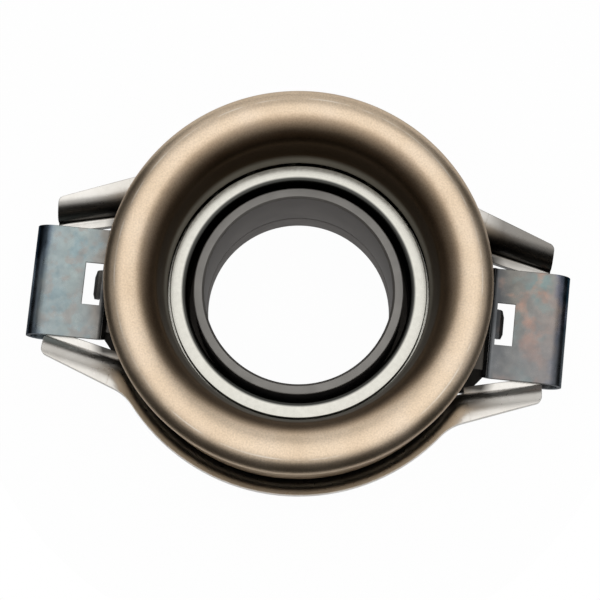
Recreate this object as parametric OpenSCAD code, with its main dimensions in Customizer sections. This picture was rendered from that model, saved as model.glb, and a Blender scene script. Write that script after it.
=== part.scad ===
// Self-aligning clutch release bearing, in millimetres.
// The origin is on the axis, at the rear end of the guide sleeve. +Z points to the nose,
// and the two ears for the release fork lie along X.

/* [Guide sleeve] */
// Diameter of the bore that slides on the gearbox's guide tube
bore_d = 33; // [28:0.5:38]
// Wall of the sleeve
sleeve_wall = 1.9; // [1.5:0.1:2.5]
// Length of the sleeve
sleeve_len = 23; // [20:0.5:28]
// Chamfer at both ends of the bore and of the outside
sleeve_chamfer = 0.4; // [0.2:0.1:0.6]
// Thickness of each fold of the bead that carries the carrier's floor
bead_fold = 1.7; // [1.3:0.1:2.1]
// How far the bead stands out from the sleeve
bead_reach = 4.4; // [3:0.2:5]
// Radius of the rounded mouth that the fold leaves in the bore
bead_mouth = 1; // [0.6:0.1:1.2]
// Width of the slit inside the fold
bead_slit = 0.3; // [0.2:0.1:0.6]

/* [Rolling bearing] */
// Room between the sleeve and the inner ring, in which the bearing centres itself
float_gap = 1.1; // [1:0.1:1.6]
// Radial width of the inner ring at its front face
ring_wall = 3; // [2.6:0.1:3.6]
// Round at the inner ring's front inner edge
ring_round = 0.9; // [0.4:0.1:1.2]
// Ball diameter
ball_d = 6.35; // [5.8:0.05:6.5]
// Number of balls
ball_count = 20; // [16:1:21]
// Play between a ball and its grooves
ball_play = 0.1; // [0.05:0.05:0.15]
// Step from the inner ring's front land to the bottom of its groove
race_step = 0.425; // [0.3:0.025:0.8]
// How far each groove wraps round the ball towards its shoulder, in degrees
groove_wrap = 60; // [50:1:65]
// Front of the inner ring above the middle of the balls
ring_front = 2.55; // [2.4:0.05:3.2]
// Thickness of the inner ring's rear flange
flange_t = 1.8; // [1.4:0.1:2.2]
// How far the flange stands out from the inner ring's neck
flange_reach = 4.6; // [4:0.1:5.4]

/* [Outer ring] */
// Gap between the nose's lip and the inner ring
lip_gap = 0.3; // [0.2:0.05:0.5]
// Height of the nose's lip above the inner ring's front face
lip_rise = 0.25; // [0.1:0.05:0.6]
// Thickness of the lip at its free edge
lip_t = 1.2; // [0.8:0.1:1.3]
// Distance from the lip's edge out to the nose's crest
crest_in = 7.2; // [6.8:0.1:7.8]
// Radius by which the inner slope rounds over to the crest
slope_r = 5.8; // [5:0.1:6.4]
// Radius of the nose's outer round
nose_round = 3.5; // [3:0.05:4.2]
// Height of the nose above the inner ring's front face
nose_h = 12.7; // [12:0.1:15]
// Sheet thickness of the nose
nose_sheet = 2.4; // [1.8:0.1:2.8]
// How far the outer round turns under, in degrees
nose_under = 20; // [12:1:26]
// Wall of the skirt outside the groove
skirt_wall = 2.825; // [2.2:0.025:3.4]
// Length of the skirt behind the middle of the balls
skirt_back = 4.2; // [4.1:0.1:5]
// Gap between the skirt's rear end and the carrier's rim
skirt_gap = 0.5; // [0.4:0.05:1]
// Height of the shoulder behind the outer groove
land_step = 0.275; // [0.15:0.025:0.4]

/* [Seal] */
// Depth of the seal's seat in the skirt
seat_depth = 1.3; // [1:0.1:1.5]
// Radial step of the seal's seat
seat_step = 1.2; // [0.9:0.1:1.5]
// Sheet thickness of the seal's case
case_t = 0.5; // [0.3:0.1:0.6]
// Depth of the case inside the skirt's rear end
case_inset = 0.1; // [0.05:0.05:0.2]
// Width of the rubber lip inside the case's edge
lip_width = 0.9; // [0.7:0.05:1.1]
// Width of the rubber's grip on the case
lip_grip = 0.8; // [0.5:0.1:1.2]
// Thickness of the rubber lip
seal_lip_t = 0.95; // [0.8:0.05:1.1]
// Gap between the rubber lip and the inner ring's neck
seal_gap = 0.3; // [0.2:0.05:0.4]

/* [Cage] */
// Radial thickness of the cage
cage_t = 2.5; // [2:0.1:2.6]
// How far the cage's prongs reach behind the middle of the balls
cage_back = 1.6; // [1.2:0.1:2]
// How far the cage's ring stands in front of the middle of the balls
cage_front = 4.2; // [3.9:0.1:4.4]

/* [Carrier] */
// Sheet thickness of the carrier
sheet = 1.8; // [1.4:0.1:2.2]
// Height of the floor's underside above the sleeve's rear end
floor_z = 7.8; // [6.5:0.1:10]
// Inside depth of the dish
dish_depth = 5.9; // [5.6:0.1:7.5]
// Bend radius of the rim and of the wings, on their outer side
bend_r = 4.6; // [3.8:0.1:4.9]
// Width of the rim outside the dish's wall, cut off before the bend is level
rim_w = 3.4; // [2.8:0.1:3.8]
// Inside radius between floor and wall
corner_r = 0.5; // [0.3:0.1:0.7]
// How far the ears reach beyond the rim
ear_len = 9.8; // [8:0.1:11]
// Width of the ears
ear_w = 17; // [15:0.5:18]
// Corner radius of the ears
ear_round = 2; // [0.5:0.5:4]
// Room between a clip's edge and a wing's wall at the wing's tip
wing_gap = 0.5; // [0.5:0.1:1]
// How much shorter than the ears the wings are
wing_short = 0.4; // [0.2:0.1:2]
// Angle of a wing's wall to the ear's axis, in degrees
wall_angle = 13; // [8:1:16]
// Angle of a wing's outer edge to the ear's axis, in degrees
edge_angle = 21; // [18:0.5:24]
// Width of a wing at its tip
wing_tip_w = 3.6; // [3.4:0.1:4.5]
// Corner radius of a wing's tip
wing_round = 1.2; // [0.6:0.1:1.4]
// Radius of the blend from a wing's edge to the rim
blend_r = 8; // [5:0.5:10]
// Radius of the turn from the dish's wall to a wing's wall
turn_r = 6.5; // [6.5:0.5:8]
// Width of the inward lip at the foot of a wing's wall
wing_lip = 1.2; // [0.8:0.1:1.3]

/* [Spring and retainer] */
// Thickness of the disc spring
spring_t = 0.45; // [0.3:0.05:0.6]
// Cone height of the disc spring
spring_rise = 0.25; // [0.1:0.05:0.4]
// Sheet thickness of the retainer ring
retainer_t = 0.8; // [0.6:0.1:1]
// Free room at each face of the disc spring
spring_play = 0.05; // [0.02:0.01:0.1]
// Sideways float of the bearing each way along X and along Y
float_travel = 0.7; // [0.3:0.05:0.75]
// Running room that is left at the end of the float
float_room = 0.3; // [0.2:0.05:0.5]

/* [Clips] */
// Sheet thickness of the clips
clip_t = 0.8; // [0.5:0.1:1]
// Width of the clips
clip_w = 20; // [18.5:0.5:22]
// Outer radius of a clip's fold
fold_r = 3.25; // [2.9:0.05:4]
// Room between an ear's end and the middle of the fold
fold_room = 0.25; // [0.1:0.05:0.5]
// Length of the clip's rear leaf
rear_leaf = 5; // [3.5:0.1:5.4]
// How much narrower the rear leaf is than the clip
rear_narrow = 3; // [1:0.5:5]
// Distance from the rim to the window's outer edge
window_reach = 3.7; // [3.2:0.1:4.2]
// Length of the window along the ear
window_len = 3.2; // [2.6:0.1:3.4]
// Width of the window
window_w = 7.7; // [6.5:0.1:9]
// Width of the tab that is bent down into the ear's window
tab_w = 5.2; // [3.5:0.1:5.5]
// Length of the tab
tab_len = 1.9; // [1.2:0.1:2]
// Play between the tab and the inner edge of the ear's window
tab_play = 0.05; // [0.02:0.01:0.1]
// Angle by which the tab is bent down, in degrees
tab_angle = 68; // [62:1:80]
// Distance from the window's inner edge to the foot of the clip's upturned lip
lip_start = 0.1; // [0.1:0.05:0.4]
// Inside radius of the clip's upturned lip
lip_bend = 1; // [0.6:0.1:1.2]
// Angle by which the clip's lip is bent up, in degrees
lip_angle = 60; // [45:1:75]
// Room round the clip's window in the ear
ear_window_room = 0.45; // [0.3:0.05:0.8]

/* [Hidden] */
$fn = 96;
// A length beyond every edge, for shapes that a later cut bounds
far = 200;
// Overlap of a cutting shape past the face it cuts
eps = 0.5;

// Radii, from the bore outwards
bore_r = bore_d / 2;
sleeve_r = bore_r + sleeve_wall;
bead_r = sleeve_r + bead_reach;
ring_bore_r = sleeve_r + float_gap;
land_r = ring_bore_r + ring_wall;
ball_r = ball_d / 2;
groove_r = ball_r + ball_play;
pitch_r = land_r + race_step + groove_r;
neck_r = pitch_r - groove_r * cos(groove_wrap);
flange_r = neck_r + flange_reach;
lip_r = land_r + lip_gap;
crest_r = lip_r + crest_in;
nose_r = crest_r + nose_round;
shoulder_r = pitch_r + groove_r * cos(groove_wrap);
rear_land_r = pitch_r + groove_r - land_step;
skirt_r = pitch_r + groove_r + skirt_wall;
seat_r = rear_land_r + seat_step;
case_in_r = neck_r + seal_gap + lip_width;
spring_r = flange_r + float_travel;
retainer_in_r = flange_r - float_travel;
dish_r = spring_r + float_travel + float_room + retainer_t;
rim_r = dish_r + rim_w;

// Heights, from the sleeve's rear end upwards
floor_top = floor_z + sheet;
flange_top = floor_top + flange_t;
rim_z = floor_top + dish_depth;
bend_z = rim_z - bend_r;
skirt_z = rim_z + skirt_gap;
seal_z = skirt_z + case_inset;
ball_z = skirt_z + skirt_back;
ring_z = ball_z + ring_front;
lip_z = ring_z + lip_rise;
top_z = ring_z + nose_h;
slope_z = top_z - slope_r;
round_z = top_z - nose_round;
// Inner slope: a straight flank from the lip's edge runs into the round
slope_c = [crest_r, slope_z];
slope_run = slope_c - [lip_r, lip_z];
flank_angle = atan2(slope_run[1], slope_run[0]) + asin(slope_r / norm(slope_run));
flank_normal = [-sin(flank_angle), cos(flank_angle)];
neck_top = ball_z - groove_r * sin(groove_wrap);
shoulder_z = ball_z + groove_r * sin(groove_wrap);
retainer_under = flange_top + spring_t + spring_rise + 2 * spring_play;
retainer_top = retainer_under + retainer_t;

// Ears and clips
ear_reach = rim_r + ear_len;
fold_u = ear_reach + fold_room;
fold_z = floor_top + clip_t - fold_r;
window_out = rim_r + window_reach;
window_in = window_out - window_len;
lip_u = window_in - lip_start;
// Length by which the tab's root runs into the leaf
tab_root = lip_start / 2;

// Wings: the wall's line and the outer edge's line, in the quarter with X and Y above zero
wing_u = ear_reach - wing_short;
wall_v = clip_w / 2 + wing_gap;
edge_v = wall_v + wing_tip_w;
edge_normal = [sin(edge_angle), cos(edge_angle)];
edge_along = [cos(edge_angle), -sin(edge_angle)];
edge_off = edge_normal * [wing_u, edge_v];
wall_normal = [sin(wall_angle), cos(wall_angle)];
wall_along = [cos(wall_angle), -sin(wall_angle)];
wall_off = wall_normal * [wing_u, wall_v];
// Round turn from the dish's wall to the wing's wall
turn_c = (wall_off + turn_r) * wall_normal
    + sqrt(pow(dish_r + turn_r, 2) - pow(wall_off + turn_r, 2)) * wall_along;
turn_angle = atan2(turn_c[1], turn_c[0]);
// Degrees a turn runs on into the wall and into the wing
turn_lap = 1;
// Inset of a turn's faces from the wall and the wing it sinks into
turn_slim = 0.02;
// Radius left open about a turn's axis, outside the plan
turn_hole = 0.2;

ball_name = function(i) str("ball_", i < 10 ? "0" : "", i);

// Rectangle from one corner to the opposite one
module box2d(low, high) {
    translate(low) square(high - low);
}

// Drawn steel tube with a folded bead behind the carrier's floor
module guide_sleeve() {
    bead_rear = floor_z - 2 * bead_fold;
    slit_z = floor_z - bead_fold;
    mouth_h = bead_mouth + bead_slit / 2;
    color("#7a7671") rotate_extrude() difference() {
        union() {
            polygon([
                [bore_r + sleeve_chamfer, 0], [sleeve_r - sleeve_chamfer, 0],
                [sleeve_r, sleeve_chamfer], [sleeve_r, sleeve_len - sleeve_chamfer],
                [sleeve_r - sleeve_chamfer, sleeve_len], [bore_r + sleeve_chamfer, sleeve_len],
                [bore_r, sleeve_len - sleeve_chamfer], [bore_r, sleeve_chamfer]]);
            box2d([sleeve_r - sleeve_wall / 2, bead_rear], [bead_r - bead_fold, floor_z]);
            translate([bead_r - bead_fold, slit_z]) circle(bead_fold);
        }
        box2d([bore_r - eps, slit_z - bead_slit / 2], [bead_r - bead_fold, slit_z + bead_slit / 2]);
        difference() {
            box2d([bore_r - eps, slit_z - mouth_h], [bore_r + bead_mouth, slit_z + mouth_h]);
            translate([bore_r + bead_mouth, slit_z - mouth_h]) circle(bead_mouth);
            translate([bore_r + bead_mouth, slit_z + mouth_h]) circle(bead_mouth);
        }
    }
}

// Section of a wall with the bend and flange at its top, from the wall's inner face outwards
module bend_strip(reach, slim) {
    box2d([slim, floor_top + corner_r], [sheet - slim, bend_z]);
    intersection() {
        difference() {
            translate([bend_r, bend_z]) circle(bend_r - slim);
            translate([bend_r, bend_z]) circle(bend_r - sheet + slim);
        }
        box2d([0, bend_z], [bend_r, rim_z]);
    }
    box2d([bend_r, rim_z - sheet + slim], [reach, rim_z - slim]);
}

// Section of the round corner at a wall's foot, from the wall's inner face outwards
module foot_corner(slim) {
    middle = [-corner_r, floor_top + corner_r];
    intersection() {
        difference() {
            translate(middle) circle(corner_r + sheet - slim);
            translate(middle) circle(corner_r + slim);
        }
        box2d([middle[0], floor_z], [sheet, middle[1]]);
    }
}

// Section of the dish's wall: rim flange, bend, wall and foot corner
module wall_section(reach, slim) {
    bend_strip(reach, slim);
    foot_corner(slim);
}

// Outline of the right upper wing, with its round tip and the blend into the rim
module wing_plan() {
    blend_along = sqrt(pow(rim_r + blend_r, 2) - pow(edge_off + blend_r, 2));
    blend_c = (edge_off + blend_r) * edge_normal + blend_along * edge_along;
    blend_line = blend_c - blend_r * edge_normal;
    blend_rim = blend_c * rim_r / (rim_r + blend_r);
    tip_u = wing_u - wing_round;
    tip_c = [tip_u, (edge_off - wing_round - tip_u * edge_normal[0]) / edge_normal[1]];
    tip_line = tip_c + wing_round * edge_normal;
    polygon([[0, 0], [wing_u, 0], [wing_u, tip_c[1]], tip_c, tip_line, blend_line]);
    intersection() {
        translate(tip_c) circle(wing_round);
        polygon([tip_c, [wing_u, tip_c[1]], [wing_u, edge_v], tip_line]);
    }
    difference() {
        polygon([[0, 0], blend_line, blend_c, blend_rim]);
        translate(blend_c) circle(blend_r);
    }
}

// Outline of the rim with its wings in the half with Y above zero
module rim_plan() {
    circle(rim_r);
    for (side = [0, 1]) mirror([side, 0]) wing_plan();
}

// Round turn from the dish's wall into a wing, a hair slimmer than both so that it sinks into them
module wing_turn() {
    turn = 90 - wall_angle - turn_angle;
    translate(turn_c) rotate_extrude(start = turn_angle + 180 - turn_lap, angle = turn + 2 * turn_lap)
        translate([turn_r, 0]) mirror([1, 0]) wall_section(turn_r - turn_hole, turn_slim);
}

// Straight run of a wing, with the inward lip at its foot
module wing_strip() {
    translate(turn_c - turn_r * wall_normal) rotate([0, 0, -wall_angle]) rotate([90, 0, 90])
        linear_extrude(far) {
            wall_section(far, 0);
            box2d([-corner_r - wing_lip, floor_z], [-corner_r, floor_top]);
        }
}

// Half of the dish's wall and rim, with the round turns and the wings it runs out into
module dish_half() {
    intersection() {
        union() {
            rotate_extrude(start = turn_angle, angle = 180 - 2 * turn_angle)
                translate([dish_r, 0]) wall_section(turn_r - turn_hole, 0);
            for (side = [0, 1]) mirror([side, 0, 0]) {
                wing_turn();
                wing_strip();
            }
        }
        linear_extrude(far) rim_plan();
    }
}

// Outline of both ears with round corners
module ears_plan() {
    straight = ear_reach - ear_round;
    box2d([-straight, -ear_w / 2], [straight, ear_w / 2]);
    box2d([-ear_reach, -ear_w / 2 + ear_round], [ear_reach, ear_w / 2 - ear_round]);
    for (x = [-1, 1], y = [-1, 1])
        translate([x * straight, y * (ear_w / 2 - ear_round)]) circle(ear_round);
}

// Pressed sheet dish that carries the bearing, with two ears and four wings
module carrier() {
    window_half = window_w / 2 + ear_window_room;
    window_end = window_out + ear_window_room;
    color("#b9b8b4") {
        translate([0, 0, floor_z]) linear_extrude(sheet) difference() {
            union() {
                circle(dish_r - corner_r);
                ears_plan();
            }
            circle(sleeve_r);
            for (side = [0, 180])
                rotate(side) box2d([window_in - tab_play, -window_half], [window_end, window_half]);
        }
        for (half = [0, 180]) rotate([0, 0, half]) dish_half();
    }
}

// Pressed ring that holds the disc spring down in the dish
module retainer_ring() {
    color("#8d8c88") rotate_extrude() {
        box2d([dish_r - retainer_t, floor_top + corner_r], [dish_r, retainer_top]);
        box2d([retainer_in_r, retainer_under], [dish_r, retainer_top]);
    }
}

// Shallow cone of spring steel that presses the inner ring's flange on the floor
module disc_spring() {
    spring_in_r = neck_r + float_travel + float_room;
    low = flange_top + spring_play;
    color("#5c6068") rotate_extrude() polygon([
        [spring_in_r, low], [spring_r, low + spring_rise],
        [spring_r, low + spring_rise + spring_t], [spring_in_r, low + spring_t]]);
}

// Ground steel ring with an open-fronted groove and a rear flange
module inner_ring() {
    color("#d2cfc4") rotate_extrude() difference() {
        union() {
            box2d([ring_bore_r, floor_top], [flange_r, flange_top]);
            box2d([ring_bore_r, floor_top], [neck_r, ball_z]);
            box2d([ring_bore_r, floor_top], [land_r, ring_z]);
        }
        translate([pitch_r, ball_z]) circle(groove_r);
        difference() {
            box2d([ring_bore_r - eps, ring_z - ring_round], [ring_bore_r + ring_round, ring_z + eps]);
            translate([ring_bore_r + ring_round, ring_z - ring_round]) circle(ring_round);
        }
    }
}

// Section of the nose's front: the round of the inner slope and the outer round meet at the crest
module nose_front(inset) {
    under_z = round_z - (nose_round - inset) * sin(nose_under);
    intersection() {
        translate(slope_c) circle(slope_r - inset);
        polygon([slope_c, [crest_r, top_z], [lip_r, top_z], slope_c + slope_run[0] * flank_normal]);
    }
    intersection() {
        translate([crest_r, round_z]) circle(nose_round - inset);
        box2d([crest_r, under_z], [nose_r, top_z]);
    }
}

// Pressed steel ring: a skirt with the outer groove, and the hollow nose with its lip
module outer_ring() {
    under = [cos(nose_under), -sin(nose_under)];
    under_out = [crest_r, round_z] + nose_round * under;
    under_in = [crest_r, round_z] + (nose_round - nose_sheet) * under;
    waist_z = under_out[1] - (under_out[0] - skirt_r) / tan(nose_under);
    color("#8f7a63") rotate_extrude() difference() {
        union() {
            nose_front(0);
            polygon([
                [lip_r, skirt_z], [skirt_r, skirt_z], [skirt_r, waist_z], under_out,
                [crest_r, under_out[1]], slope_c, slope_c + slope_r * flank_normal, [lip_r, lip_z]]);
        }
        nose_front(nose_sheet);
        polygon([
            [0, skirt_z - eps], [rear_land_r, skirt_z - eps], [rear_land_r, ball_z], [shoulder_r, ball_z],
            [shoulder_r, shoulder_z + nose_sheet / 2], [skirt_r - nose_sheet, waist_z], under_in,
            [crest_r, under_in[1]], slope_c, slope_c + (slope_r - nose_sheet) * flank_normal,
            [lip_r + lip_t, lip_z], [0, lip_z]]);
        box2d([0, skirt_z - eps], [seat_r, skirt_z + seat_depth]);
        translate([pitch_r, ball_z]) circle(groove_r);
    }
}

// Pressed steel case of the rear seal, seated in the skirt
module seal_case() {
    color("#777570") rotate_extrude() {
        box2d([case_in_r, seal_z], [seat_r, seal_z + case_t]);
        box2d([seat_r - case_t, seal_z], [seat_r, skirt_z + seat_depth]);
    }
}

// Rubber lip moulded on the inner edge of the seal's case
module seal_lip() {
    low = skirt_z - (seal_lip_t - case_t) / 2;
    color("#1d1c1b") rotate_extrude() difference() {
        box2d([neck_r + seal_gap, low], [case_in_r + lip_grip, low + seal_lip_t]);
        box2d([case_in_r, seal_z], [case_in_r + lip_grip + eps, seal_z + case_t]);
    }
}

// Moulded crown cage with a round pocket for each ball
module cage() {
    cage_r = shoulder_r - float_room;
    color("#3a3a38") difference() {
        rotate_extrude() box2d([cage_r - cage_t, ball_z - cage_back], [cage_r, ball_z + cage_front]);
        for (i = [1 : ball_count]) at_ball(i) sphere(groove_r);
    }
}

// Places a shape at the middle of a ball
module at_ball(i) {
    rotate([0, 0, 360 * (i - 0.5) / ball_count]) translate([pitch_r, 0, ball_z]) children();
}

// Steel ball
module ball(i) {
    color("#c8cbd0") at_ball(i) sphere(ball_r);
}

// Side view of a filled loop round the fold's middle, with straight sides up to a given place
module fold_loop(start, r) {
    translate([fold_u, fold_z]) circle(r);
    box2d([start, fold_z - r], [fold_u, fold_z + r]);
}

// Side view of a clip: upturned lip, front leaf, fold and rear leaf
module clip_side() {
    lip_c = [lip_u, floor_top + clip_t + lip_bend];
    difference() {
        fold_loop(lip_u, fold_r);
        fold_loop(lip_u - eps, fold_r - clip_t);
        box2d([lip_u - eps, fold_z - fold_r - eps], [fold_u - rear_leaf, fold_z]);
    }
    intersection() {
        difference() {
            translate(lip_c) circle(lip_bend + clip_t);
            translate(lip_c) circle(lip_bend);
        }
        polygon([lip_c, lip_c - far * [0, 1], lip_c - far * [sin(lip_angle), cos(lip_angle)]]);
    }
}

// Side of a clip's tab: the leaf's end, the knee and the bent tongue in one outline
module tab_side() {
    along = [cos(tab_angle), -sin(tab_angle)];
    across = [sin(tab_angle), cos(tab_angle)];
    polygon([[-tab_root, 0], [0, 0], tab_len * along, tab_len * along + clip_t * across,
        clip_t * across, [0, clip_t], [-tab_root, clip_t]]);
}

// Tab of a clip, bent down through the ear's window
module clip_tab() {
    chamfer = tab_w / 5;
    half = tab_w / 2;
    translate([window_in, 0, floor_top]) difference() {
        rotate([90, 0, 0]) linear_extrude(tab_w, center = true) tab_side();
        rotate([0, tab_angle, 0]) translate([0, 0, -eps]) linear_extrude(clip_t + 2 * eps)
            for (side = [-1, 1])
                polygon([[tab_len - chamfer, side * half], [tab_len + eps, side * half],
                    [tab_len + eps, side * (half - chamfer)], [tab_len, side * (half - chamfer)]]);
    }
}

// Spring clip that is folded over an ear and grips the fork's tip
module clip() {
    leaf_mid = floor_top + clip_t / 2;
    rear_half = (clip_w - rear_narrow) / 2;
    difference() {
        rotate([90, 0, 0]) linear_extrude(clip_w, center = true) clip_side();
        translate([0, 0, leaf_mid - clip_t]) linear_extrude(2 * clip_t)
            box2d([window_in, -window_w / 2], [window_out, window_w / 2]);
        for (side = [-1, 1])
            translate([fold_u - rear_leaf - eps, side * (rear_half + far / 2), fold_z - fold_r / 2])
                cube([2 * rear_leaf, far, fold_r + eps], center = true);
    }
    clip_tab();
}

module clip_right() {
    color("#6f8288") clip();
}

module clip_left() {
    color("#6f8288") rotate([0, 0, 180]) clip();
}

guide_sleeve();
carrier();
retainer_ring();
clip_right();
clip_left();
disc_spring();
inner_ring();
outer_ring();
seal_case();
seal_lip();
cage();
for (i = [1 : ball_count])
    ball(i);
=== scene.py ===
# %% [markdown]
# A clutch release bearing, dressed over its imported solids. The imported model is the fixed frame: it
# gives every size, and this lesson only adds what a camera sees, which is smooth turned rings,
# four small webs, and the finishes of the different steels. Lengths are written in millimetres, as
# on a drawing, and turned into Blender's metres at the last moment.

# %% Load the frame
import math
import bmesh
import bpy
from mathutils import Matrix, Vector


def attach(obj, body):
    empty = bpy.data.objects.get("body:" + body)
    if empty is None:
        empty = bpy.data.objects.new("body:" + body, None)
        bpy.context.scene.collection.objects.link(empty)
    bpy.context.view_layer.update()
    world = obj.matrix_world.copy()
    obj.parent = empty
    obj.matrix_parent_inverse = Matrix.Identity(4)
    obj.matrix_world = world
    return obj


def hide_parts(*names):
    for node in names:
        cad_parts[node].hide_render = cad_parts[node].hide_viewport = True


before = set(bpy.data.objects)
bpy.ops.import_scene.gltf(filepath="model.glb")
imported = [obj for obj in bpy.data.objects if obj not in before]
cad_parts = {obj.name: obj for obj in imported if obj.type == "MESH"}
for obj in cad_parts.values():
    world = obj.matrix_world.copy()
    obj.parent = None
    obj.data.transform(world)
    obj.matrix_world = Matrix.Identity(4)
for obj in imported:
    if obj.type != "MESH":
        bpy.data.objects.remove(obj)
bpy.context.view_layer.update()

MM = 0.001
FULL_TURN = 2 * math.pi

# %% [markdown]
# The picture is taken from almost straight above with a long lens, so the near and far edges of
# the bearing are nearly the same size. A camera can be placed by hand until it looks right, or
# from the angles and the distance that a fit to the round edges gives. The second way is used,
# because then the rings, the clips and the gaps all fall into place together.

# %% Camera
azimuth, elevation = math.radians(5.75), math.radians(79.3)
distance_mm, aim_height_mm = 480, 23
shift_right_mm, shift_up_mm = 0.27, -1.65

level = math.cos(elevation)
back = Vector((math.sin(azimuth) * level, -math.cos(azimuth) * level, math.sin(elevation)))
right = Vector((math.cos(azimuth), math.sin(azimuth), 0))
up = back.cross(right)
place = Vector((0, 0, aim_height_mm)) + back * distance_mm
place = place + right * shift_right_mm + up * shift_up_mm

camera_data = bpy.data.cameras.new("camera")
camera_data.sensor_width = 36
camera_data.lens = 164.8
camera_data.clip_start, camera_data.clip_end = 0.01, 10
camera = bpy.data.objects.new("camera", camera_data)
bpy.context.scene.collection.objects.link(camera)
facing = Matrix((right, up, back)).transposed().to_4x4()
camera.matrix_world = Matrix.Translation(place * MM) @ facing
bpy.context.scene.camera = camera
print("camera stands", round(place.length), "mm away")

# %% [markdown]
# The rings are all turned or drawn shapes, so one helper makes them: an outline of radius and
# height is swung about the axis. A spin operator or a screw modifier would do the same, but
# building the faces here keeps the rows even and the normals pointing outwards. Edges sharper than
# a given angle stay crisp, and everything else is shaded smooth.

# %% Helpers for turned pieces
CRISP_DEGREES = 32


def add_piece(name, mesh, body):
    piece = bpy.data.objects.new(name, mesh)
    bpy.context.scene.collection.objects.link(piece)
    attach(piece, body)
    return piece


def keep_crisp(mesh):
    work = bmesh.new()
    work.from_mesh(mesh)
    bmesh.ops.recalc_face_normals(work, faces=work.faces)
    for face in work.faces:
        face.smooth = True
    for edge in work.edges:
        joined = len(edge.link_faces) == 2
        edge.smooth = joined and edge.calc_face_angle(0) < math.radians(CRISP_DEGREES)
    work.to_mesh(mesh)
    work.free()


def arc(centre, radius, first, last, steps):
    angles = [math.radians(first + (last - first) * i / steps) for i in range(steps + 1)]
    return [(centre[0] + radius * math.cos(a), centre[1] + radius * math.sin(a)) for a in angles]


def turned(name, outline, body, steps=288):
    rows = len(outline)
    points, faces = [], []
    for i in range(steps):
        x, y = math.cos(FULL_TURN * i / steps), math.sin(FULL_TURN * i / steps)
        points += [(r * x * MM, r * y * MM, z * MM) for r, z in outline]
    for i in range(steps):
        for j in range(rows):
            k, n = (j + 1) % rows, (i + 1) % steps
            faces.append((i * rows + j, n * rows + j, n * rows + k, i * rows + k))
    mesh = bpy.data.meshes.new(name)
    mesh.from_pydata(points, [], faces)
    keep_crisp(mesh)
    print(name, "has", len(faces), "faces")
    return add_piece(name, mesh, body)


# %% [markdown]
# The nose is a pressed ring that meets the fingers of the clutch cover. Its inner slope and its
# outer round are two arcs that meet at the crest, and a narrow waist leads down to the straight
# skirt. The outline follows the solid, with a small round on the skirt's rear edge and on the
# waist, which a press tool always leaves.

# %% Nose and skirt
crest_r, slope_z, round_z = 30.0, 29.65, 31.95
slope_bend, outer_bend, wall = 5.8, 3.5, 2.4
slope_end, round_end = 169.0, -20
ball_row, groove_bend = (26.2, 20.2), 3.275

nose_outline = [(22.85, 23.25), (23.75, 28.0)]                               # lip
nose_outline += arc((crest_r, slope_z), slope_bend, slope_end, 90, 28)       # inner slope
nose_outline += arc((crest_r, round_z), outer_bend, 90, round_end, 32)[1:]   # outer round
nose_outline += arc((38.3, 27.5), 6.0, 164, 180, 5)                          # waist
nose_outline += arc((31.95, 16.35), 0.35, 0, -90, 5)                         # skirt's rear edge
nose_outline += [(30.4, 16.0), (30.4, 17.3), (29.2, 17.3)]                   # seat of the seal
nose_outline += arc(ball_row, groove_bend, -23.6, 60, 8)                     # groove for the balls
nose_outline += [(27.84, 24.24), (29.9, 28.03)]                              # hollow of the nose
nose_outline += arc((crest_r, round_z), outer_bend - wall, round_end, 90, 8)
nose_outline += arc((crest_r, slope_z), slope_bend - wall, 90, slope_end, 8)[1:]
nose_outline += [(24.0, 23.0), (23.05, 23.0)]                                # end of the lip
nose = turned("nose_ring", nose_outline, "outer_ring")
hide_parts("outer_ring")

# %% [markdown]
# The inner ring is ground all over. From the front only its face shows, a pale band with a broken
# outer edge and a large round on the inside. The groove for the balls is in the outline as well,
# for whoever takes the nose off.

# %% Inner ring
ring_in_r, ring_out_r, ring_front = 19.5, 22.5, 22.75
flange_r, flange_low, flange_high = 29.16, 9.6, 11.4
outer_break, inner_break = 0.18, 0.9

ring_outline = [(ring_in_r, flange_low), (flange_r, flange_low)]
ring_outline += [(flange_r, flange_high), (24.56, flange_high)]
ring_outline += arc(ball_row, groove_bend, 240, 180, 8)
ring_outline += [(ring_out_r, ball_row[1])]
ring_outline += arc((ring_out_r - outer_break, ring_front - outer_break), outer_break, 0, 90, 4)
ring_outline += arc((ring_in_r + inner_break, ring_front - inner_break), inner_break, 90, 180, 8)
inner_ring = turned("inner_ring_ground", ring_outline, "inner_ring")
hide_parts("inner_ring")

# %% [markdown]
# The guide sleeve is a drawn tube. A bead is folded out of its wall to carry the dish, and that
# fold leaves a thin line with a rounded mouth all round the bore, low down. The line is real
# geometry here, because a painted line would not catch the light at its two lips.

# %% Guide sleeve
sleeve_r, bore_r, sleeve_top, chamfer = 18.4, 16.5, 23.0, 0.4
bead_r, bead_z, bead_bend = 21.1, 6.1, 1.7
front_break, mouth, half_gap = 0.25, 1.0, 0.15

sleeve_outline = [(sleeve_r - chamfer, 0), (sleeve_r, chamfer), (sleeve_r, bead_z - bead_bend)]
sleeve_outline += arc((bead_r, bead_z), bead_bend, -90, 90, 16)
sleeve_outline += [(sleeve_r, bead_z + bead_bend)]
sleeve_outline += arc((sleeve_r - front_break, sleeve_top - front_break), front_break, 0, 90, 4)
sleeve_outline += [(bore_r + chamfer, sleeve_top), (bore_r, sleeve_top - chamfer)]
sleeve_outline += arc((bore_r + mouth, bead_z + half_gap + mouth), mouth, 180, 270, 8)
sleeve_outline += [(bead_r, bead_z + half_gap), (bead_r, bead_z - half_gap)]
sleeve_outline += arc((bore_r + mouth, bead_z - half_gap - mouth), mouth, 90, 180, 8)
sleeve_outline += [(bore_r, chamfer), (bore_r + chamfer, 0)]
sleeve = turned("guide_tube", sleeve_outline, "carrier")
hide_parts("guide_sleeve")

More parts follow.
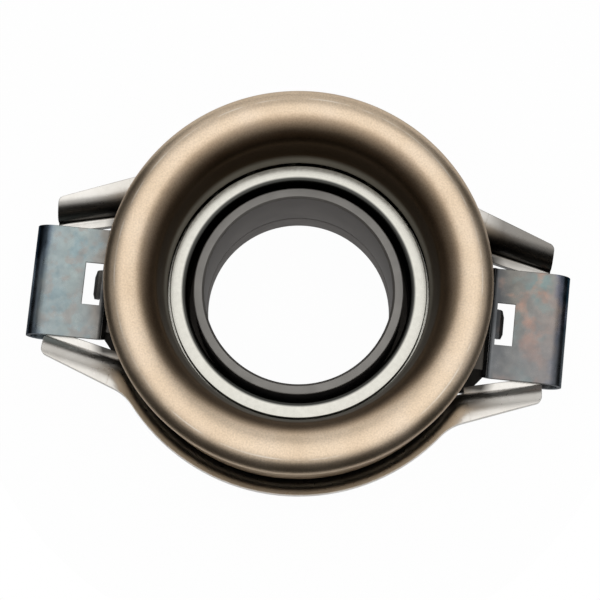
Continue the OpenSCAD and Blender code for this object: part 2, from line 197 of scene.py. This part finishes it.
# %% [markdown]
# A slot parts each ear from the wing beside it. In the photo the inner corner of the slot is dark
# and closed, and cut off at a slant. The solid leaves that corner open, so four small webs fill it
# at the level of the dish's floor. Cutting the solid anew would be the other way, but a web can be
# added without touching it.

# %% Corner webs
web_low, web_high = 7.85, 9.55
web_plan = [(28.6, 8.3), (35.2, 8.3), (31.4, 12.9), (28.6, 12.9)]
web_sides = len(web_plan)

points, faces = [], []
for side_x, side_y in ((1, 1), (1, -1), (-1, 1), (-1, -1)):
    low = [len(points) + i for i in range(web_sides)]
    high = [i + web_sides for i in low]
    for z in (web_low, web_high):
        points += [(side_x * x * MM, side_y * y * MM, z * MM) for x, y in web_plan]
    faces += [low, high]
    faces += [(low[i - 1], low[i], high[i], high[i - 1]) for i in range(web_sides)]
webs_mesh = bpy.data.meshes.new("corner_webs")
webs_mesh.from_pydata(points, [], faces)
keep_crisp(webs_mesh)
webs = add_piece("corner_webs", webs_mesh, "carrier")
print("corner_webs has", len(faces), "faces")

# %% [markdown]
# Each finish is a small network of nodes on one shader. The helpers below give the common parts: a
# cloud of noise in the object's own metres, a ramp that turns it into colours, a fade between two
# places, and bumps. Object coordinates are used because every piece sits at the origin of the same
# frame, so a grain of a tenth of a millimetre is simply a noise of that size.

# %% A new finish
WHITE = (1.0, 1.0, 1.0)


def new_finish(name, metallic, roughness, glint=1.0):
    finish = bpy.data.materials.new(name)
    finish.use_nodes = True
    tree = finish.node_tree
    shader = tree.nodes["Principled BSDF"]
    shader.inputs["Metallic"].default_value = metallic
    shader.inputs["Roughness"].default_value = roughness
    shader.inputs["Specular Tint"].default_value = (glint, glint, glint, 1)
    where = tree.nodes.new("ShaderNodeTexCoord").outputs["Object"]
    return finish, tree, shader, where


def paint(tree, shader, colour):
    tree.links.new(colour, shader.inputs["Base Color"])


def polish(tree, shader, roughness):
    tree.links.new(roughness, shader.inputs["Roughness"])


# %% Numbers over a surface
def wire(tree, value, socket):
    if isinstance(value, bpy.types.NodeSocket):
        tree.links.new(value, socket)
    else:
        socket.default_value = value


def sums(tree, operation, *values):
    node = tree.nodes.new("ShaderNodeMath")
    node.operation = operation
    for socket, value in zip(node.inputs, values):
        wire(tree, value, socket)
    return node.outputs["Value"]


def cloud(tree, where, size_mm, detail=3.0, stretch=(1, 1, 1)):
    spread = tree.nodes.new("ShaderNodeMapping")
    spread.inputs["Scale"].default_value = [s / (size_mm * MM) for s in stretch]
    tree.links.new(where, spread.inputs["Vector"])
    noise = tree.nodes.new("ShaderNodeTexNoise")
    noise.inputs["Scale"].default_value = 1.0
    noise.inputs["Detail"].default_value = detail
    tree.links.new(spread.outputs["Vector"], noise.inputs["Vector"])
    return noise.outputs["Fac"]


def span(tree, value, low, high, from_low=0.3, from_high=0.7):
    scale = tree.nodes.new("ShaderNodeMapRange")
    scale.inputs["From Min"].default_value = from_low
    scale.inputs["From Max"].default_value = from_high
    scale.inputs["To Min"].default_value = low
    scale.inputs["To Max"].default_value = high
    tree.links.new(value, scale.inputs["Value"])
    return scale.outputs["Result"]


def fade(tree, value, none_at, full_at, most=1.0):
    return span(tree, value, 0.0, most, none_at, full_at)


def split(tree, vector):
    parts = tree.nodes.new("ShaderNodeSeparateXYZ")
    tree.links.new(vector, parts.inputs["Vector"])
    return parts.outputs["X"], parts.outputs["Y"], parts.outputs["Z"]


def radius_mm(tree, where):
    x, y, _ = split(tree, where)
    squares = [sums(tree, "POWER", side, 2.0) for side in (x, y)]
    reach = sums(tree, "SQRT", sums(tree, "ADD", *squares))
    return sums(tree, "DIVIDE", reach, MM)


# %% Colours and bumps
def ramp(tree, value, stops):
    colours = tree.nodes.new("ShaderNodeValToRGB")
    marks = colours.color_ramp.elements
    while len(marks) < len(stops):
        marks.new(0.5)
    for mark, (at, colour) in zip(marks, stops):
        mark.position = at
        mark.color = (*colour, 1)
    tree.links.new(value, colours.inputs["Fac"])
    return colours.outputs["Color"]


def blend_colour(tree, share, first, second, mode="MIX"):
    mix = tree.nodes.new("ShaderNodeMix")
    mix.data_type = "RGBA"
    mix.blend_type = mode
    wire(tree, share, mix.inputs["Factor"])
    wire(tree, first, mix.inputs["A"])
    wire(tree, second, mix.inputs["B"])
    return mix.outputs["Result"]


def glaze(tree, colour, film):
    return blend_colour(tree, 1.0, colour, film, "MULTIPLY")


def bump(tree, shader, height, depth_mm, strength):
    node = tree.nodes.new("ShaderNodeBump")
    node.inputs["Strength"].default_value = strength
    node.inputs["Distance"].default_value = depth_mm * MM
    tree.links.new(height, node.inputs["Height"])
    if shader.inputs["Normal"].links:
        below = shader.inputs["Normal"].links[0].from_socket
        tree.links.new(below, node.inputs["Normal"])
    tree.links.new(node.outputs["Normal"], shader.inputs["Normal"])


def soft_edges(tree, shader, round_mm):
    bevel = tree.nodes.new("ShaderNodeBevel")
    bevel.samples = 6
    bevel.inputs["Radius"].default_value = round_mm * MM
    tree.links.new(bevel.outputs["Normal"], shader.inputs["Normal"])


# %% [markdown]
# The nose is hardened in an atmosphere that leaves a satin bronze-brown skin. It is a metal all
# through, so the brown goes into the metal's own colour. Slow clouds vary the tint, a fine grain
# like blasted sheet breaks up the gloss, and one thin turned line near the crest shows where a
# tool has touched it. Towards the lip the skin is painted nearly black, partly an oil film from the
# bearing and partly painted shade on the inner slope. This painted shade reaches a little further
# out on the side whose inner slope faces away from the light. A picture of the surface could carry
# this too, but noise stays sharp at any distance.

# %% Bronze-brown nose finish
# The nose darkens towards the lip: partly an oil film, partly painted shade on the inner slope.
tool_line_r, oil_and_shade_from_r, oil_and_shade_to_r = 31.4, 24.2, 28.8
oil_and_shade_lean = 0.032
lip_bare_r, lip_oil_and_shade_r = 23.2, 23.5
line_metal, lip_metal = (0.95, 0.86, 0.74, 1), (0.30, 0.29, 0.26, 1)
oil_and_shade_tones = [
    (0.0, (0.09, 0.078, 0.066)), (0.15, (0.2, 0.175, 0.15)), (0.3, (0.28, 0.255, 0.23)),
    (0.45, (0.36, 0.335, 0.31)), (0.59, (0.5, 0.47, 0.44)), (0.68, (0.66, 0.63, 0.60)),
    (0.79, (0.92, 0.90, 0.88)), (0.9, WHITE)]

nose_finish, tree, shader, where = new_finish("bronze_brown_satin", 1.0, 0.4, 0.45)
reach = radius_mm(tree, where)
patches = cloud(tree, where, 9, 4)
grain = cloud(tree, where, 0.3)
tint = ramp(tree, patches, [
    (0.25, (0.70, 0.55, 0.395)), (0.5, (0.79, 0.635, 0.47)), (0.75, (0.86, 0.71, 0.55))])
tint = glaze(tree, tint, ramp(tree, grain, [(0.3, (0.82, 0.81, 0.80)), (0.65, WHITE)]))

away = sums(tree, "ABSOLUTE", sums(tree, "SUBTRACT", reach, tool_line_r))
broken = fade(tree, cloud(tree, where, 5, 2), 0.42, 0.62)
line = sums(tree, "MULTIPLY", fade(tree, away, 0.16, 0.04, 0.75), broken)
tint = blend_colour(tree, line, tint, line_metal)

# Painted shade: the dark reaches further out on the +y side, where the inner slope faces away from the
# light.
_, towards_back, _ = split(tree, where)
oil_and_shade_run = sums(tree, "MULTIPLY", towards_back, oil_and_shade_lean / MM)
oil_and_shade = fade(tree, sums(tree, "SUBTRACT", reach, oil_and_shade_run), oil_and_shade_from_r, oil_and_shade_to_r)
tint = glaze(tree, tint, ramp(tree, oil_and_shade, oil_and_shade_tones))
bare = fade(tree, reach, lip_oil_and_shade_r, lip_bare_r, 0.6)
paint(tree, shader, blend_colour(tree, bare, tint, lip_metal))
polish(tree, shader, span(tree, patches, 0.37, 0.44))
bump(tree, shader, grain, 0.012, 0.5)
print(nose_finish.name, "has", len(tree.nodes), "nodes")

# %% [markdown]
# The inner ring's face is ground on a turning table, so its marks run round the axis. Rings of
# fine noise on the radius give them, and a light mottle from the corrosion oil lies over it. The
# round at the inner edge is nearly black.

# %% Ground ring finish
# The round at the inner edge is made nearly black below these radii.
round_dark_full_r, round_dark_from_r = 20.25, 20.6
round_dark_tone = (0.06, 0.06, 0.055, 1)
marks_per_mm = 9.0

ring_finish, tree, shader, where = new_finish("ground_bearing_steel", 1.0, 0.34, 0.5)
reach = radius_mm(tree, where)
mottle = cloud(tree, where, 0.9, 4)
face = ramp(tree, mottle, [(0.3, (0.57, 0.555, 0.50)), (0.7, (0.65, 0.635, 0.575))])
round_dark_share = fade(tree, reach, round_dark_from_r, round_dark_full_r)
paint(tree, shader, blend_colour(tree, round_dark_share, face, round_dark_tone))
polish(tree, shader, span(tree, mottle, 0.20, 0.27))
wheel_marks = tree.nodes.new("ShaderNodeTexNoise")
wheel_marks.noise_dimensions = "1D"
wheel_marks.inputs["Scale"].default_value = marks_per_mm
tree.links.new(reach, wheel_marks.inputs["W"])
bump(tree, shader, wheel_marks.outputs["Fac"], 0.004, 0.35)
bump(tree, shader, cloud(tree, where, 0.12, 2), 0.004, 0.4)
print(ring_finish.name, "has", len(tree.nodes), "nodes")

# %% [markdown]
# The sleeve is drawn tube with a dull phosphate coat. It is greyer and much rougher than the
# ground ring, and the drawing die leaves faint lines along the axis, which stretched noise gives.
# Its front end, from 22.4 mm up, is a shade lighter.

# %% Drawn sleeve finish
# The front end is made a shade lighter than the coat.
lighter_from_z, lighter_full_z = 22.4 * MM, 22.9 * MM
front_end_tone = (0.25, 0.24, 0.225, 1)
along_axis = (1, 1, 0.06)

sleeve_finish, tree, shader, where = new_finish("dull_drawn_steel", 1.0, 0.5, 0.35)
cloudy = cloud(tree, where, 3.5, 4)
coat = ramp(tree, cloudy, [(0.3, (0.155, 0.147, 0.142)), (0.7, (0.20, 0.19, 0.183))])
_, _, height = split(tree, where)
front_end_share = fade(tree, height, lighter_from_z, lighter_full_z)
paint(tree, shader, blend_colour(tree, front_end_share, coat, front_end_tone))
polish(tree, shader, span(tree, cloudy, 0.5, 0.6))
bump(tree, shader, cloud(tree, where, 0.25, 2, along_axis), 0.002, 0.3)
print(sleeve_finish.name, "has", len(tree.nodes), "nodes")

# %% [markdown]
# The dish, its wings and the small pressed rings are plain sheet steel. The sheet's rolled surface
# has a few stains, and one of the wings is darker. Painted shade blackens the sheet towards the
# axis, where the bearing shades it, under the clips, and on the inner walls of the two upper wings,
# which face away from the light. A bevel node rounds the cut edges as the camera sees them, which
# is cheaper than modelling a tiny round on every edge of the pressing.

# %% Pressed sheet finish
# Painted shade: near-black for the shade towards the axis, under the clips and on the inner wing
# walls.
painted_shade_black = (0.03, 0.027, 0.024)
shade_towards_axis = [(0.0, painted_shade_black), (0.55, (0.3, 0.27, 0.24)), (0.7, (0.72, 0.68, 0.64)), (0.82, WHITE)]
one_wing_dark_tone = (0.10, 0.09, 0.08, 1)


def sheet_finish(name, dark, pale, smooth, rough):
    finish, tree, shader, where = new_finish(name, 1.0, smooth, 0.6)
    soft_edges(tree, shader, 0.22)
    sheet = ramp(tree, cloud(tree, where, 6, 5), [(0.28, dark), (0.62, pale)])
    reach = radius_mm(tree, where)
    # Painted shade towards the axis, where the bearing shades the dish.
    sheet = glaze(tree, sheet, ramp(tree, fade(tree, reach, 26, 37), shade_towards_axis))

    x, y, _ = split(tree, where)
    # One of the wings is made darker.
    one_wing = sums(tree, "MULTIPLY", fade(tree, x, 29 * MM, 35 * MM),
                    fade(tree, y, 8 * MM, 13 * MM, 0.8))
    sheet = blend_colour(tree, one_wing, sheet, one_wing_dark_tone)

    # Painted shade on the inner walls of the upper wings, which face away from the light, and under
    # the clips.
    _, tilt, _ = split(tree, tree.nodes.new("ShaderNodeTexCoord").outputs["Normal"])
    shaded_inner_walls = sums(tree, "MULTIPLY", fade(tree, tilt, -0.3, -0.75, 0.92),
                        fade(tree, y, 0.0, 3 * MM))
    shade_under_clips = sums(tree, "MULTIPLY", fade(tree, reach, 38, 36, 0.94),
                       fade(tree, sums(tree, "ABSOLUTE", y), 13.5 * MM, 12 * MM))
    painted_shade = sums(tree, "MAXIMUM", shaded_inner_walls, shade_under_clips)
    paint(tree, shader, blend_colour(tree, painted_shade, sheet, (*painted_shade_black, 1)))
    polish(tree, shader, span(tree, cloud(tree, where, 0.6), smooth, rough))
    print(name, "has", len(tree.nodes), "nodes")
    return finish


carrier_finish = sheet_finish(
    "pressed_sheet_steel", (0.66, 0.63, 0.58), (0.76, 0.735, 0.69), 0.27, 0.32)
retainer_finish = sheet_finish(
    "thin_sheet_steel", (0.36, 0.35, 0.33), (0.5, 0.49, 0.47), 0.32, 0.45)
spring_finish = sheet_finish(
    "hardened_spring_steel", (0.16, 0.17, 0.19), (0.26, 0.27, 0.3), 0.35, 0.45)

# %% [markdown]
# The clips are spring steel that was tempered after bending. The heat leaves a thin skin whose
# colour tells how hot each place got: straw, rose and teal grey on the leaf. The same ramp also
# holds painted shade: near-black at the inner end, where the nose shades it, and a deep blue-black
# at the fold, which is partly temper blue and partly painted shade of the fold turning away. The
# distance from the axis chooses the colour along the ramp, and clouds of two other tempers lie over
# the leaf. The two clips did not lie alike in the furnace, so each has its own ramp and clouds, and
# each turns a darker grey towards -y by a share of its own. Fine scratches from handling lie over
# both.

# %% Tempered clip finishes
clip_inner_r, clip_outer_r = 33, 49
lower_side_grey = (0.21, 0.215, 0.22, 1)
handling = (0.3, 1, 1)


def tempered_and_shaded_finish(name, bands, patches, lower_side_share):
    finish, tree, shader, where = new_finish(name, 1.0, 0.3, 0.35)
    soft_edges(tree, shader, 0.15)
    stirred = span(tree, cloud(tree, where, 5, 4), -0.06, 0.06)
    along_clip = fade(tree, radius_mm(tree, where), clip_inner_r, clip_outer_r)
    along_clip = sums(tree, "ADD", along_clip, stirred)
    # The ramp holds the tempers, with painted shade at both ends: near-black by the nose, blue-black
    # at the fold.
    temper_and_shade = ramp(tree, along_clip, bands)

    leaf = sums(tree, "MULTIPLY", fade(tree, along_clip, 0.86, 0.74, 0.75),
                fade(tree, along_clip, 0.2, 0.32))
    for size_mm, colour in patches:
        patch = fade(tree, cloud(tree, where, size_mm, 5), 0.5, 0.62)
        temper_and_shade = blend_colour(tree, sums(tree, "MULTIPLY", patch, leaf), temper_and_shade, colour)

    _, y, _ = split(tree, where)
    # Each clip turns a darker grey towards -y, by its own share.
    temper_and_shade = blend_colour(tree, fade(tree, y, 3 * MM, -5 * MM, lower_side_share), temper_and_shade, lower_side_grey)
    veil = ramp(tree, cloud(tree, where, 1.6, 4), [(0.3, (0.8, 0.82, 0.84)), (0.7, WHITE)])
    paint(tree, shader, glaze(tree, temper_and_shade, veil))
    polish(tree, shader, span(tree, cloud(tree, where, 2, 4), 0.24, 0.36))
    bump(tree, shader, cloud(tree, where, 0.4, 3, handling), 0.006, 0.4)
    print(name, "has", len(tree.nodes), "nodes")
    return finish


# Both ramps end in painted shade: near-black at the inner end and blue-black at the fold.
left_bands = [
    (0.0, (0.04, 0.04, 0.04)), (0.13, (0.06, 0.06, 0.06)), (0.22, (0.25, 0.23, 0.205)),
    (0.34, (0.29, 0.315, 0.31)), (0.5, (0.34, 0.39, 0.38)), (0.8, (0.325, 0.375, 0.38)),
    (0.87, (0.2, 0.25, 0.30)), (0.95, (0.05, 0.065, 0.085))]
left_patches = [(4.2, (0.25, 0.33, 0.35, 1)), (2.6, (0.33, 0.31, 0.29, 1))]
left_clip_finish = tempered_and_shaded_finish("tempered_blue_grey", left_bands, left_patches, 0.2)

right_bands = [
    (0.0, (0.06, 0.062, 0.065)), (0.2, (0.10, 0.102, 0.105)), (0.36, (0.21, 0.20, 0.18)),
    (0.55, (0.25, 0.24, 0.225)), (0.8, (0.31, 0.26, 0.235)), (0.87, (0.18, 0.19, 0.24)),
    (0.94, (0.05, 0.08, 0.105))]
right_patches = [(6.5, (0.20, 0.285, 0.28, 1)), (5.0, (0.42, 0.25, 0.19, 1))]
right_clip_finish = tempered_and_shaded_finish("tempered_rose_grey", right_bands, right_patches, 0.6)

# %% [markdown]
# The pieces inside are hardly seen, yet each gets the finish of its own stuff: balls under a film
# of grease, a moulded cage and a rubber lip. The webs are painted near-black as painted shade for
# the dark corners that they fill. All four are one soft cloud between a dark and a pale tone, so
# one helper makes them.

# %% Finishes of the hidden pieces
def clouded_finish(name, metallic, roughness, size_mm, dark, pale, glint=1.0):
    finish, tree, shader, where = new_finish(name, metallic, roughness, glint)
    paint(tree, shader, ramp(tree, cloud(tree, where, size_mm), [(0.3, dark), (0.7, pale)]))
    print(name, "has", len(tree.nodes), "nodes to start with")
    return finish, tree, shader, where


ball_finish, tree, shader, where = clouded_finish(
    "greased_ball", 1.0, 0.2, 1.5, (0.2, 0.19, 0.17), (0.3, 0.29, 0.26))
polish(tree, shader, span(tree, cloud(tree, where, 0.4), 0.15, 0.3))

cage_finish, tree, shader, where = clouded_finish(
    "moulded_cage", 0.0, 0.5, 2, (0.03, 0.03, 0.03), (0.05, 0.05, 0.048))
bump(tree, shader, cloud(tree, where, 0.3), 0.01, 0.4)

rubber_finish, tree, shader, where = clouded_finish(
    "seal_rubber", 0.0, 0.7, 1, (0.012, 0.012, 0.012), (0.022, 0.022, 0.022))
bump(tree, shader, cloud(tree, where, 0.2), 0.01, 0.4)

# Painted shade: the webs are near-black to stand for the dark corner of each slot.
web_shade_finish = clouded_finish(
    "painted_shade_webs", 0.0, 0.7, 1, (0.006, 0.005, 0.004), (0.014, 0.012, 0.010), 0.3)[0]

# %% [markdown]
# Each piece now gets its finish as its only material. The solids could be dressed one by one, but
# a table from their names to the finishes is easier to read, and every name that is not in the
# table is a ball.

# %% Dress the pieces
def dress(piece, finish):
    piece.data.materials.clear()
    piece.data.materials.append(finish)


dress(nose, nose_finish)
dress(inner_ring, ring_finish)
dress(sleeve, sleeve_finish)
dress(webs, web_shade_finish)
solid_finishes = {
    "carrier": carrier_finish, "retainer_ring": retainer_finish, "disc_spring": spring_finish,
    "clip_right": right_clip_finish, "clip_left": left_clip_finish,
    "seal_case": retainer_finish, "seal_lip": rubber_finish, "cage": cage_finish}
for name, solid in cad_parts.items():
    dress(solid, solid_finishes.get(name, ball_finish))
print("dressed", len(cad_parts), "solids and 4 new pieces")

# %% [markdown]
# The part lies on pale paper. Metal shows mostly what stands round it, so the shape of the paper
# matters: it ends close to the part, and only a tongue of it runs on towards the back. A wide
# floor would be simpler, but then the flanks would mirror white all round. For the camera and for
# reflections the paper is lifted to white, and it still takes the part's shadow.

# %% Helpers for the studio
def stage_piece(name, mesh):
    piece = bpy.data.objects.new(name, mesh)
    bpy.context.scene.collection.objects.link(piece)
    return piece


def seen_rays(tree):
    path = tree.nodes.new("ShaderNodeLightPath").outputs
    seen = sums(tree, "MAXIMUM", path["Is Camera Ray"], path["Is Glossy Ray"])
    return sums(tree, "MAXIMUM", seen, path["Is Transmission Ray"])


def mix_shaders(tree, share, first, second, target):
    mix = tree.nodes.new("ShaderNodeMixShader")
    tree.links.new(share, mix.inputs["Fac"])
    tree.links.new(first, mix.inputs[1])
    tree.links.new(second, mix.inputs[2])
    tree.links.new(mix.outputs["Shader"], target)


# %% Floor
floor_steps, floor_r, tongue, floor_z = 96, 62, 240, -0.05
white_share = 0.975

rim = []
for i in range(floor_steps):
    x, y = math.cos(FULL_TURN * i / floor_steps), math.sin(FULL_TURN * i / floor_steps)
    far = floor_r + tongue * max(0, y) ** 4
    rim.append((far * x * MM, far * y * MM, floor_z * MM))
floor_mesh = bpy.data.meshes.new("floor")
floor_mesh.from_pydata(rim, [], [list(range(floor_steps))])
floor = stage_piece("floor", floor_mesh)

floor_finish = bpy.data.materials.new("pale_floor")
floor_finish.use_nodes = True
tree = floor_finish.node_tree
tree.nodes.clear()
paper = tree.nodes.new("ShaderNodeBsdfDiffuse")
paper.inputs["Color"].default_value = (0.9, 0.9, 0.9, 1)
lift = tree.nodes.new("ShaderNodeEmission")
lift.inputs["Strength"].default_value = 1.0
surface = tree.nodes.new("ShaderNodeOutputMaterial").inputs["Surface"]
lifted = sums(tree, "MULTIPLY", seen_rays(tree), white_share)
mix_shaders(tree, lifted, paper.outputs["BSDF"], lift.outputs["Emission"], surface)
dress(floor, floor_finish)
print("floor has", floor_steps, "corners")

# %% [markdown]
# Round the paper stands a tent of dark cloth, which gives the metal its dark flanks. The camera
# itself does not see it. A darker world would do the same, but a tent is an object, which can be
# moved, resized or taken down by hand.

# %% Dark tent
tent_mesh = bpy.data.meshes.new("dark_tent")
work = bmesh.new()
bmesh.ops.create_uvsphere(work, u_segments=48, v_segments=24, radius=1.6)
work.to_mesh(tent_mesh)
work.free()
tent = stage_piece("dark_tent", tent_mesh)
tent.visible_camera = False
tent_finish = bpy.data.materials.new("dark_cloth")
tent_finish.use_nodes = True
cloth = tent_finish.node_tree.nodes["Principled BSDF"].inputs
cloth["Base Color"].default_value = (0.10, 0.096, 0.092, 1)
cloth["Roughness"].default_value = 0.9
dress(tent, tent_finish)
print("tent has", len(tent_mesh.polygons), "faces")

# %% [markdown]
# Five soft boxes hang inside the tent. A wide one overhead lights everything, a smaller one just
# under it makes the bright middle of the highlights, and cards at the back, the left and the right
# draw the long bands on the wings and on the flanks. One strong lamp would be simpler, but on
# polished metal it shows as a hard spot. Each box is given by how bright it looks, so that its
# size can change without changing that.

# %% Soft boxes
over_wide, over_hot, part_middle = (130, -171, 25), (100, -30, 25), (0, 0, 25)


def soft_box(name, place_mm, aim_mm, width_mm, height_mm, radiance):
    light = bpy.data.lights.new(name, "AREA")
    light.shape = "RECTANGLE"
    light.size, light.size_y = width_mm * MM, height_mm * MM
    light.energy = radiance * math.pi * light.size * light.size_y
    lamp = bpy.data.objects.new(name, light)
    bpy.context.scene.collection.objects.link(lamp)
    lamp.location = Vector(place_mm) * MM
    away = Vector(place_mm) - Vector(aim_mm)
    lamp.rotation_euler = away.to_track_quat("Z", "Y").to_euler()
    print(name, "gives", round(light.energy, 2), "watts")


soft_box("overhead_box", (130, -171, 660), over_wide, 1770, 1610, 0.75)
soft_box("hot_centre", (100, -30, 640), over_hot, 860, 800, 0.55)
soft_box("back_card", (-150, 950, 400), part_middle, 1300, 760, 0.8)
soft_box("left_card", (-1000, -60, 400), part_middle, 900, 420, 0.4)
soft_box("right_card", (1100, -60, 430), part_middle, 900, 420, 0.6)

# %% [markdown]
# Behind the tent is the world. The camera looks through the tent, so the world gives the white
# ground of the picture. It is white for gloss and glass as well, should the tent be taken down,
# and a grey room for all other rays. The colours are shown as they are, with the Standard view.

# %% World
world = bpy.data.worlds.new("studio")
bpy.context.scene.world = world
world.use_nodes = True
tree = world.node_tree
room, paper_white = tree.nodes["Background"], tree.nodes.new("ShaderNodeBackground")
room.inputs["Color"].default_value = (0.5, 0.5, 0.5, 1)
paper_white.inputs["Color"].default_value = (*WHITE, 1)
mix_shaders(tree, seen_rays(tree), room.outputs["Background"],
            paper_white.outputs["Background"], tree.nodes["World Output"].inputs["Surface"])
bpy.context.scene.view_settings.view_transform = "Standard"
print("world has", len(tree.nodes), "nodes")

# %% [markdown]
# Last, the view layer is brought up to date.

# %% Finish
bpy.context.view_layer.update()
